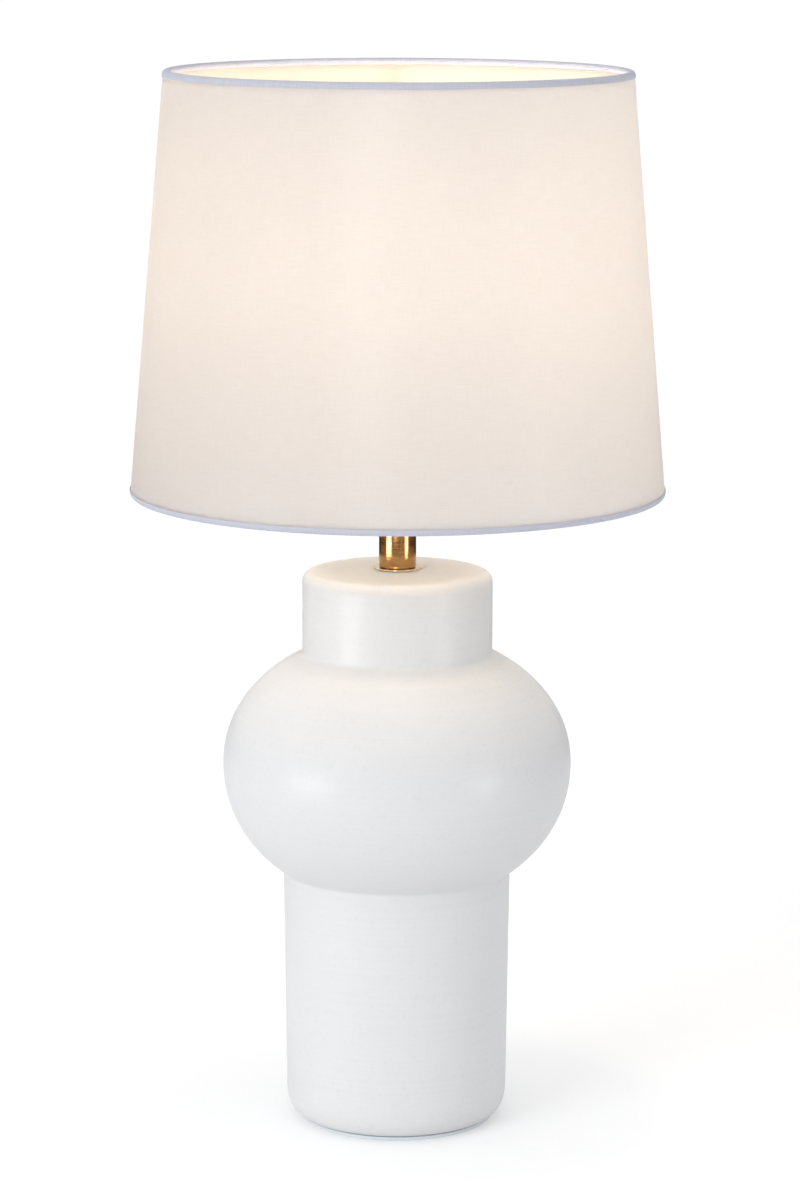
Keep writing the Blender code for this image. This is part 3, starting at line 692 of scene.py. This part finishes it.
def makeBulb(s):
    nickel = paintMetal("nickelPlate", (0.70, 0.68, 0.63), 0.2)
    low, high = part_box("bulb_cap")
    collar = high.z + s["gap"]
    radius, wall, neck = high.x, s["capWall"], s["capNeck"]
    shoulder = low.z + s["capShoulder"]
    count = int((high.z - shoulder) / s["pitch"] * s["threadRings"])
    outline = straight(radius, shoulder, high.z, count)[::-1]
    outline += softCorner((radius, shoulder), (radius - 0.0004, low.z + 0.0006), (neck, low.z), 4)[1:]
    outline += [(neck - wall, low.z)]
    outline += straight(radius - wall, shoulder + wall / 2, high.z, count)
    cap = turnPiece("bulbCap", outline, 72)
    heights = (shoulder, high.z - 0.001)
    cutThread(cap, (radius - 0.0007, 1), heights, s["threadDepth"], s["pitch"], s["threadRunout"])
    settle(cap, "bulb", nickel, "bulb_cap")

    low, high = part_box("bulb_contact")
    side = high.z - 0.0003
    outline = [(0, high.z), (high.x, high.z), (high.x, side)]
    outline += softCorner((high.x, side), (high.x - 0.0006, low.z + 0.0001), (0.0022, low.z), 4)[1:]
    outline += [(0.0014, low.z + 0.0002), (0, low.z + 0.0003)]
    settle(turnPiece("bulbContact", outline, 48), "bulb_tip", nickel, "bulb_contact")

    low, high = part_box("bulb_insulator")
    outline = [(0, high.z), (high.x, high.z)]
    outline += softCorner((high.x, high.z), (0.0078, high.z - 0.0009), (0.0055, low.z), 5)[1:] + [(0, low.z)]
    glass = paintPlastic("blackGlass", (0.03, 0.03, 0.035), 0.08, 0.00002)
    settle(turnPiece("bulbInsulator", outline, 48), "bulb", glass, "bulb_insulator")

    low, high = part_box("bulb_housing")
    rim, gap, foot = high.z, s["gap"], s["housingFoot"]
    drop, rise = rim - s["rimDrop"], rim - s["housingRise"]
    outline = [(high.x, rim - gap), (high.x, drop)]
    outline += softCorner((high.x, drop), (high.x - 0.0030, rise), (foot + 0.0010, collar + 0.0030), 10)[1:]
    outline += [(foot, collar + 0.0010), (foot, collar), (s["spigot"], collar), (s["spigot"], low.z)]
    inside = s["spigot"] - s["spigotWall"]
    outline += [(inside, low.z), (inside, collar + 0.0020)]
    inner = high.x - s["rimWall"]
    outline += softCorner((0.0140, collar + 0.0050), (high.x - 0.0046, rise), (inner, drop), 8)
    outline += [(inner, rim), (high.x - gap, rim)]
    plastic = paintPlastic("bulbPlastic", (0.88, 0.88, 0.87), 0.32)
    settle(turnPiece("bulbHousing", outline, 72), "bulb", plastic, "bulb_housing")

    low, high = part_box("bulb_diffuser")
    radius, mouth = high.x, s["globeMouth"]
    middle = high.z - radius
    drop = math.degrees(math.asin(math.sqrt(radius**2 - mouth**2) / radius))
    outline = bend(0, middle, radius, 90, -drop, 30) + [(mouth - 0.0010, low.z), (mouth - 0.0022, low.z)]
    outline += bend(0, middle, radius - s["globeWall"], -drop, 90, 24)
    paint = paintDiffuser(low.z, high.z, s["glow"])
    settle(turnPiece("bulbDiffuser", outline), "bulb", paint, "bulb_diffuser")


makeBulb(bulbSizes)
print("bulb made")

# Shade: cloth, liner, rim wires, bindings
shadeSizes = {
    "roll": 0.0020,  # outside radius of the folded tape
    "tape": 0.0003,
    "leg": 0.0008,
    "gap": 0.0003,
    "fabric": 0.0004,
    "liner": 0.00025,
    "wire": 0.0010,
    "overlap": 0.009,
    "tuck": 0.0005,
    "yarn": 0.00042,
    "tapeYarn": 0.00045,
    "through": 0.50,  # share of the light that passes
    "linerThrough": 0.78,
    "tapeThrough": 0.2,
    "linerOverlap": 0.003,
    "linerTuck": 0.0003,
    "turnIn": 0.030,  # cut size beyond the finished size, to fold round the wires
}


def shadeFrame(s):
    # middle line of the rolled edges: radius and height at the foot and at the top
    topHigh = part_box("shade_top_binding")[1]
    footLow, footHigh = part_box("shade_bottom_binding")
    s["footRadius"] = footHigh.x - s["roll"]
    s["topRadius"] = topHigh.x - s["roll"]
    s["footZ"] = footLow.z + s["roll"]
    s["topZ"] = topHigh.z - s["roll"]
    s["slant"] = math.hypot(s["footRadius"] - s["topRadius"], s["topZ"] - s["footZ"])
    s["around"] = math.pi * (s["footRadius"] + s["topRadius"]) + s["overlap"]


def wrapSheet(name, s, offset, short, thick, overlap, tuck):
    # a flat grid wrapped once round the cone from the back, its first strip tucked under its last
    bpy.ops.object.select_all(action="DESELECT")
    bpy.ops.mesh.primitive_grid_add(x_subdivisions=256, y_subdivisions=20, size=1, calc_uvs=True)
    sheet = bpy.context.object
    sheet.name = name
    sheet.data.name = name
    around = math.pi * (s["footRadius"] + s["topRadius"])
    turn = 1 + overlap / around
    foot, top = s["footZ"] + short, s["topZ"] - short
    slope = (s["topRadius"] - s["footRadius"]) / (s["topZ"] - s["footZ"])
    for vertex in sheet.data.vertices:
        along, up = vertex.co.x + 0.5, vertex.co.y + 0.5
        height = foot + (top - foot) * up
        under = min(1.0, max(0.0, 1.8 - along * around * turn / overlap))
        sink = tuck * under * under * (3 - 2 * under)
        radius = s["footRadius"] + slope * (height - s["footZ"]) + offset - sink
        angle = math.pi / 2 + math.tau * turn * along
        vertex.co = (radius * math.cos(angle), radius * math.sin(angle), height)
    useModifier(sheet, "SOLIDIFY", thickness=thick, offset=-1.0, use_even_offset=True)
    bpy.ops.object.shade_smooth_by_angle(angle=math.radians(40))
    return sheet


def makeShade(s):
    shadeFrame(s)
    outer = s["roll"] - s["tape"] - s["gap"] / 3
    cloth = wrapSheet("shadeFabric", s, outer, 0.0, s["fabric"], s["overlap"], s["tuck"])
    settle(cloth, "shade", paintShadeFabric(s), "shade_fabric")
    inner = outer - s["fabric"] - s["tuck"] - 0.0001
    stop = s["wire"] + s["gap"]
    liner = wrapSheet("shadeLiner", s, inner, stop, s["liner"], s["linerOverlap"], s["linerTuck"])
    settle(liner, "shade", paintLiner(s["linerThrough"]), "shade_liner")
    tapePaint = paintTape(s["footRadius"], s["tapeYarn"], s["tapeThrough"])
    wirePaint = paintPlastic("wirePaint", (0.85, 0.85, 0.84), 0.35)
    roll, hollow = s["roll"], s["roll"] - s["tape"]
    edges = (("top", s["topRadius"], s["topZ"], 1), ("bottom", s["footRadius"], s["footZ"], -1))
    for place, radius, z, up in edges:
        # tape folded over the wire, one leg down each side of the cloth
        leg = z - s["leg"] * up
        outline = [(radius + roll, leg)] + bend(radius, z, roll, 0, 180 * up, 14)
        outline += [(radius - roll, leg), (radius - hollow, leg)]
        outline += bend(radius, z, hollow, 180 * up, 0, 12) + [(radius + hollow, leg)]
        tape = turnPiece(place + "Binding", outline, 240)
        settle(tape, "shade", tapePaint, "shade_%s_binding" % place)
        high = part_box("shade_%s_wire" % place)[1]
        wire = turnPiece(place + "Wire", bend(high.x - s["wire"], z, s["wire"], 0, 330, 11), 160)
        settle(wire, "shade", wirePaint, "shade_%s_wire" % place)
    return wirePaint


wirePaint = makeShade(shadeSizes)
print("shade wrapped")

# Carrier and clamp ring
carrierSizes = {
    "plate": 0.0290,  # outside radius
    "hole": 0.0202,
    "thick": 0.0010,
    "edge": 0.0003,
    "gap": 0.0003,  # under the clamp ring
    "arm": 0.0015,
    "angles": (90, 210, 330),
    "level": 0.045,  # how far out the arms stay level
    "ease": 0.006,
}


def makeCarrier(s, paint):
    low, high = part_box("shade_carrier")
    radius, hole, edge = s["plate"], s["hole"], s["edge"]
    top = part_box("clamp_ring")[0].z - s["gap"]
    under = top - s["thick"]
    outline = [(hole, top), (radius - edge, top), (radius, top - edge)]
    outline += [(radius, under + edge), (radius - edge, under), (hole, under)]
    plate = turnPiece("shadeCarrier", outline)
    level, ease = (top + under) / 2, s["ease"]
    reach, endZ = high.y, low.z + s["arm"]
    path = [(radius - 0.002, level), (s["level"] - ease, level), (s["level"], level)]
    path += [(s["level"] + ease, level - 0.0006), (reach - ease, endZ + 0.0016), (reach, endZ + 0.0002)]
    arms = []
    for degrees in s["angles"]:
        angle = math.radians(degrees)
        bpy.ops.object.select_all(action="DESELECT")
        bpy.ops.curve.primitive_nurbs_path_add(location=(0, 0, 0))
        arm = bpy.context.object
        spline = arm.data.splines[0]
        spline.points.add(len(path) - len(spline.points))
        for point, (r, z) in zip(spline.points, path):
            point.co = (r * math.cos(angle), r * math.sin(angle), z, 1)
        spline.order_u = 3
        spline.use_endpoint_u = True
        arm.data.bevel_depth = s["arm"]
        arm.data.bevel_resolution = 4
        arm.data.resolution_u = 10
        arm.data.use_fill_caps = True
        bpy.ops.object.convert(target="MESH")
        arms.append(bpy.context.object)
    for arm in arms:
        useModifier(plate, "BOOLEAN", operation="UNION", solver="EXACT", object=arm)
        bpy.data.objects.remove(arm, do_unlink=True)
    bpy.ops.object.shade_smooth_by_angle(angle=math.radians(35))
    settle(plate, "shade", paint, "shade_carrier")


clampSizes = {
    "bore": 0.0201,
    "boreEdge": 0.0004,
    "barrel": 0.0238,
    "barrelEdge": 0.0006,
    "flange": 0.0020,
    "flangeEdge": 0.0003,
    "fillet": 0.0010,
    "ribs": 36,
    "ribWidth": 2,
    "ribHeight": 0.0006,
    "ribScale": 1.02,
}


def makeClampRing(s, paint):
    low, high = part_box("clamp_ring")
    bore, barrel, fillet = s["bore"], s["barrel"], s["fillet"]
    boreEdge, barrelEdge, edge = s["boreEdge"], s["barrelEdge"], s["flangeEdge"]
    radius = high.x - s["ribHeight"]
    flangeTop = low.z + s["flange"]
    outline = [(bore, high.z - boreEdge), (bore + boreEdge, high.z), (barrel - barrelEdge, high.z)]
    outline += bend(barrel - barrelEdge, high.z - barrelEdge, barrelEdge, 60, 0, 3)
    outline += softCorner((barrel, flangeTop + fillet), (barrel, flangeTop), (barrel + fillet, flangeTop), 3)
    outline += [(radius - edge, flangeTop), (radius, flangeTop - edge), (radius, low.z + edge)]
    outline += [(radius - edge, low.z), (bore + boreEdge, low.z), (bore, low.z + boreEdge)]
    sides = s["ribs"] * 4
    ring = turnPiece("clampRing", outline, sides)
    # finger ribs: every other pair of faces round the flange and the barrel is drawn out a little
    bpy.ops.object.mode_set(mode="EDIT")
    bpy.ops.mesh.select_all(action="DESELECT")
    bpy.ops.object.mode_set(mode="OBJECT")
    for face in ring.data.polygons:
        centre = face.center
        away = math.hypot(centre.x, centre.y)
        outward = (face.normal.x * centre.x + face.normal.y * centre.y) / away
        index = int((math.atan2(centre.y, centre.x) % math.tau) / math.tau * sides)
        wide = away > radius - 0.0002 and low.z + edge < centre.z < flangeTop - edge
        tall = abs(away - barrel) < 0.0002 and centre.z > flangeTop + fillet
        face.select = outward > 0.9 and index % 4 < s["ribWidth"] and (wide or tall)
    bpy.ops.object.mode_set(mode="EDIT")
    bpy.ops.mesh.extrude_region_move(TRANSFORM_OT_translate={"value": (0, 0, 0)})
    bpy.ops.transform.resize(value=(s["ribScale"], s["ribScale"], 1.0), center_override=(0, 0, low.z))
    closeUp(30)
    settle(ring, "clamp_ring", paint, "clamp_ring")


makeCarrier(carrierSizes, wirePaint)
makeClampRing(clampSizes, holderPaint)
print("carrier and clamp ring made")


# Pieces inside keep their shape and take a finish
def finishInside():
    zinc = paintMetal("zincSteel", (0.62, 0.62, 0.63), 0.3, (700, 700, 700))
    rubber = paintPlastic("blackRubber", (0.055, 0.055, 0.055), 0.7, 0.0001)
    porcelain = paintPlastic("porcelain", (0.83, 0.82, 0.78), 0.18, 0.00003)
    board = paintPlastic("circuitBoard", (0.80, 0.83, 0.80), 0.4)
    chosen = {
        "rubber_washer": rubber,
        "clamp_washer": zinc,
        "lock_washer": zinc,
        "hex_nut": zinc,
        "set_screw": zinc,
        "live_terminal": contactPaint,
        "neutral_terminal": contactPaint,
        "centre_contact": contactPaint,
        "live_terminal_screw": zinc,
        "neutral_terminal_screw": zinc,
        "terminal_insulator": porcelain,
        "led_board": board,
        "driver_board": board,
    }
    for name, material in chosen.items():
        mesh = nodes[name].data
        mesh.materials.clear()
        mesh.materials.append(material)


finishInside()
print("inside pieces finished")

# Floor, lights and camera
studio = {
    "sky": 0.85,
    "skyColour": (0.985, 0.99, 1.0, 1),
    "floorWidth": 60,
    "floorGlow": 0.14,
    # suns: azimuth and height, strength, width of the disc in degrees, colour
    "key": ((-43, 16), 1.0, 35, (0.99, 1.0, 1.0)),
    "fill": ((0, 6), 0.38, 50, (0.97, 0.96, 1.0)),
    # light panels that only show in reflections: azimuth, width, foot, top, brightness, colour
    "panels": (
        (-56, 0.46, 0.001, 0.2, 11.0, (1, 1, 1, 1)),
        (57, 0.24, 0.001, 0.2, 10.0, (1, 1, 1, 1)),
        (24, 0.12, 0.001, 0.2, 0.9, (1, 0.8, 0.6, 1)),
        (-10, 0.45, 0.001, 0.2, 0.32, (1, 0.66, 0.4, 1)),
        (-13, 0.24, 0.25, 0.8, 9.0, (1, 1, 1, 1)),
        (180, 1.6, 0.25, 0.8, 0.6, (1, 1, 1, 1)),
    ),
    "clothPanel": 4,  # the tall front panel, which the base doesn't show
    "cardGlow": (0.05, 0.03, 0.02, 1),
    "cardRadius": 0.95,
    "cardHeight": 0.22,
    "panelPlace": 0.93,  # share of the cards' radius
    "underGlow": 0.006,
    "underHeight": 0.292,
    "underWidth": 0.17,
    "underColour": (1.0, 0.86, 0.70),
}


def paintGlow(name, colour, strength):
    # a light panel's surface: it sends out light and takes none
    finish = Finish(name, Base_Color=grey(0.0), Emission_Color=colour, Emission_Strength=strength)
    return finish.material


def onlyReflected(thing):
    thing.visible_camera = False
    thing.visible_diffuse = False
    thing.visible_transmission = False
    thing.visible_shadow = False


def addSun(name, place, strength, width, colour):
    azimuth, height = (math.radians(angle) for angle in place)
    side = 2 * math.cos(height)
    where = (side * math.sin(azimuth), -side * math.cos(azimuth), 2 * math.sin(height))
    bpy.ops.object.light_add(type="SUN", location=where)
    sun = bpy.context.object
    sun.name = name
    sun.data.energy = strength
    sun.data.angle = math.radians(width)
    sun.data.color = colour
    sun.rotation_euler = (-sun.location).to_track_quat("-Z", "Y").to_euler()
    return sun


def makeStudio(s):
    bpy.ops.object.select_all(action="DESELECT")
    bpy.ops.mesh.primitive_plane_add(size=s["floorWidth"], location=(0, 0, 0))
    floor = bpy.context.object
    floor.name = "studioFloor"
    floorPaint = Finish("studioFloor", Roughness=0.9, Base_Color=grey(0.95), Specular_IOR_Level=0.0)
    floorPaint.set(Emission_Color=grey(1.0), Emission_Strength=s["floorGlow"])
    floor.data.materials.append(floorPaint.material)
    world = bpy.data.worlds.new("studio")
    bpy.context.scene.world = world
    world.use_nodes = True
    sky = world.node_tree.nodes["Background"].inputs
    sky["Color"].default_value = s["skyColour"]
    sky["Strength"].default_value = s["sky"]
    key = addSun("key", *s["key"])
    key.visible_glossy = False
    fill = addSun("fill", *s["fill"])
    # warm light that falls out of the shade on the base
    bpy.ops.object.light_add(type="AREA", location=(0, 0, s["underHeight"]))
    under = bpy.context.object
    under.name = "underGlow"
    under.data.shape = "DISK"
    under.data.size = s["underWidth"]
    under.data.energy = s["underGlow"]
    under.data.color = s["underColour"]
    under.visible_camera = False
    under.visible_glossy = False
    # dark cards round the set with bright panels in front of them, for the brass
    radius, height = s["cardRadius"], s["cardHeight"]
    bpy.ops.object.select_all(action="DESELECT")
    bpy.ops.mesh.primitive_cylinder_add(
        vertices=64, radius=radius, depth=height, location=(0, 0, height / 2 + 0.001), end_fill_type="NOTHING"
    )
    cards = bpy.context.object
    cards.name = "studioCards"
    cards.data.materials.append(paintGlow("studioCards", s["cardGlow"], 1.0))
    onlyReflected(cards)
    panels = []
    away = s["panelPlace"] * radius
    for number, (degrees, width, foot, top, bright, colour) in enumerate(s["panels"]):
        angle = math.radians(degrees)
        bpy.ops.object.select_all(action="DESELECT")
        bpy.ops.mesh.primitive_plane_add(
            size=1,
            location=(away * math.sin(angle), -away * math.cos(angle), (foot + top) / 2),
            rotation=(math.pi / 2, 0, angle),
        )
        panel = bpy.context.object
        panel.name = "studioPanel%d" % number
        panel.scale = (width, top - foot, 1)
        panel.data.materials.append(paintGlow(panel.name, colour, bright))
        onlyReflected(panel)
        panels.append(panel)
    # the key is flagged off the cloth, and the fill reaches nothing else
    # the floor's own glow and the tall front panel are flagged off the base
    flags = (
        (key, "shadeFabric", "EXCLUDE"),
        (fill, "shadeFabric", "INCLUDE"),
        (floor, "ceramicBase", "EXCLUDE"),
        (panels[s["clothPanel"]], "ceramicBase", "EXCLUDE"),
    )
    for light, name, state in flags:
        reach = bpy.data.collections.new(light.name + "Reach")
        reach.objects.link(bpy.data.objects[name])
        reach.collection_objects[0].light_linking.link_state = state
        light.light_linking.receiver_collection = reach


viewpoint = {"place": (0.0011, -1.7504, 0.5492), "down": 10.34, "roll": 0.15, "lens": 123.57}


def makeCamera(s):
    bpy.ops.object.camera_add(location=s["place"], rotation=(math.radians(90 - s["down"]), 0, 0))
    camera = bpy.context.object
    camera.rotation_euler.rotate_axis("Z", math.radians(s["roll"]))
    camera.data.sensor_width = 36
    camera.data.lens = s["lens"]
    bpy.context.scene.camera = camera


makeStudio(studio)
makeCamera(viewpoint)
bpy.context.scene.view_settings.view_transform = "Standard"
print("studio and camera set")
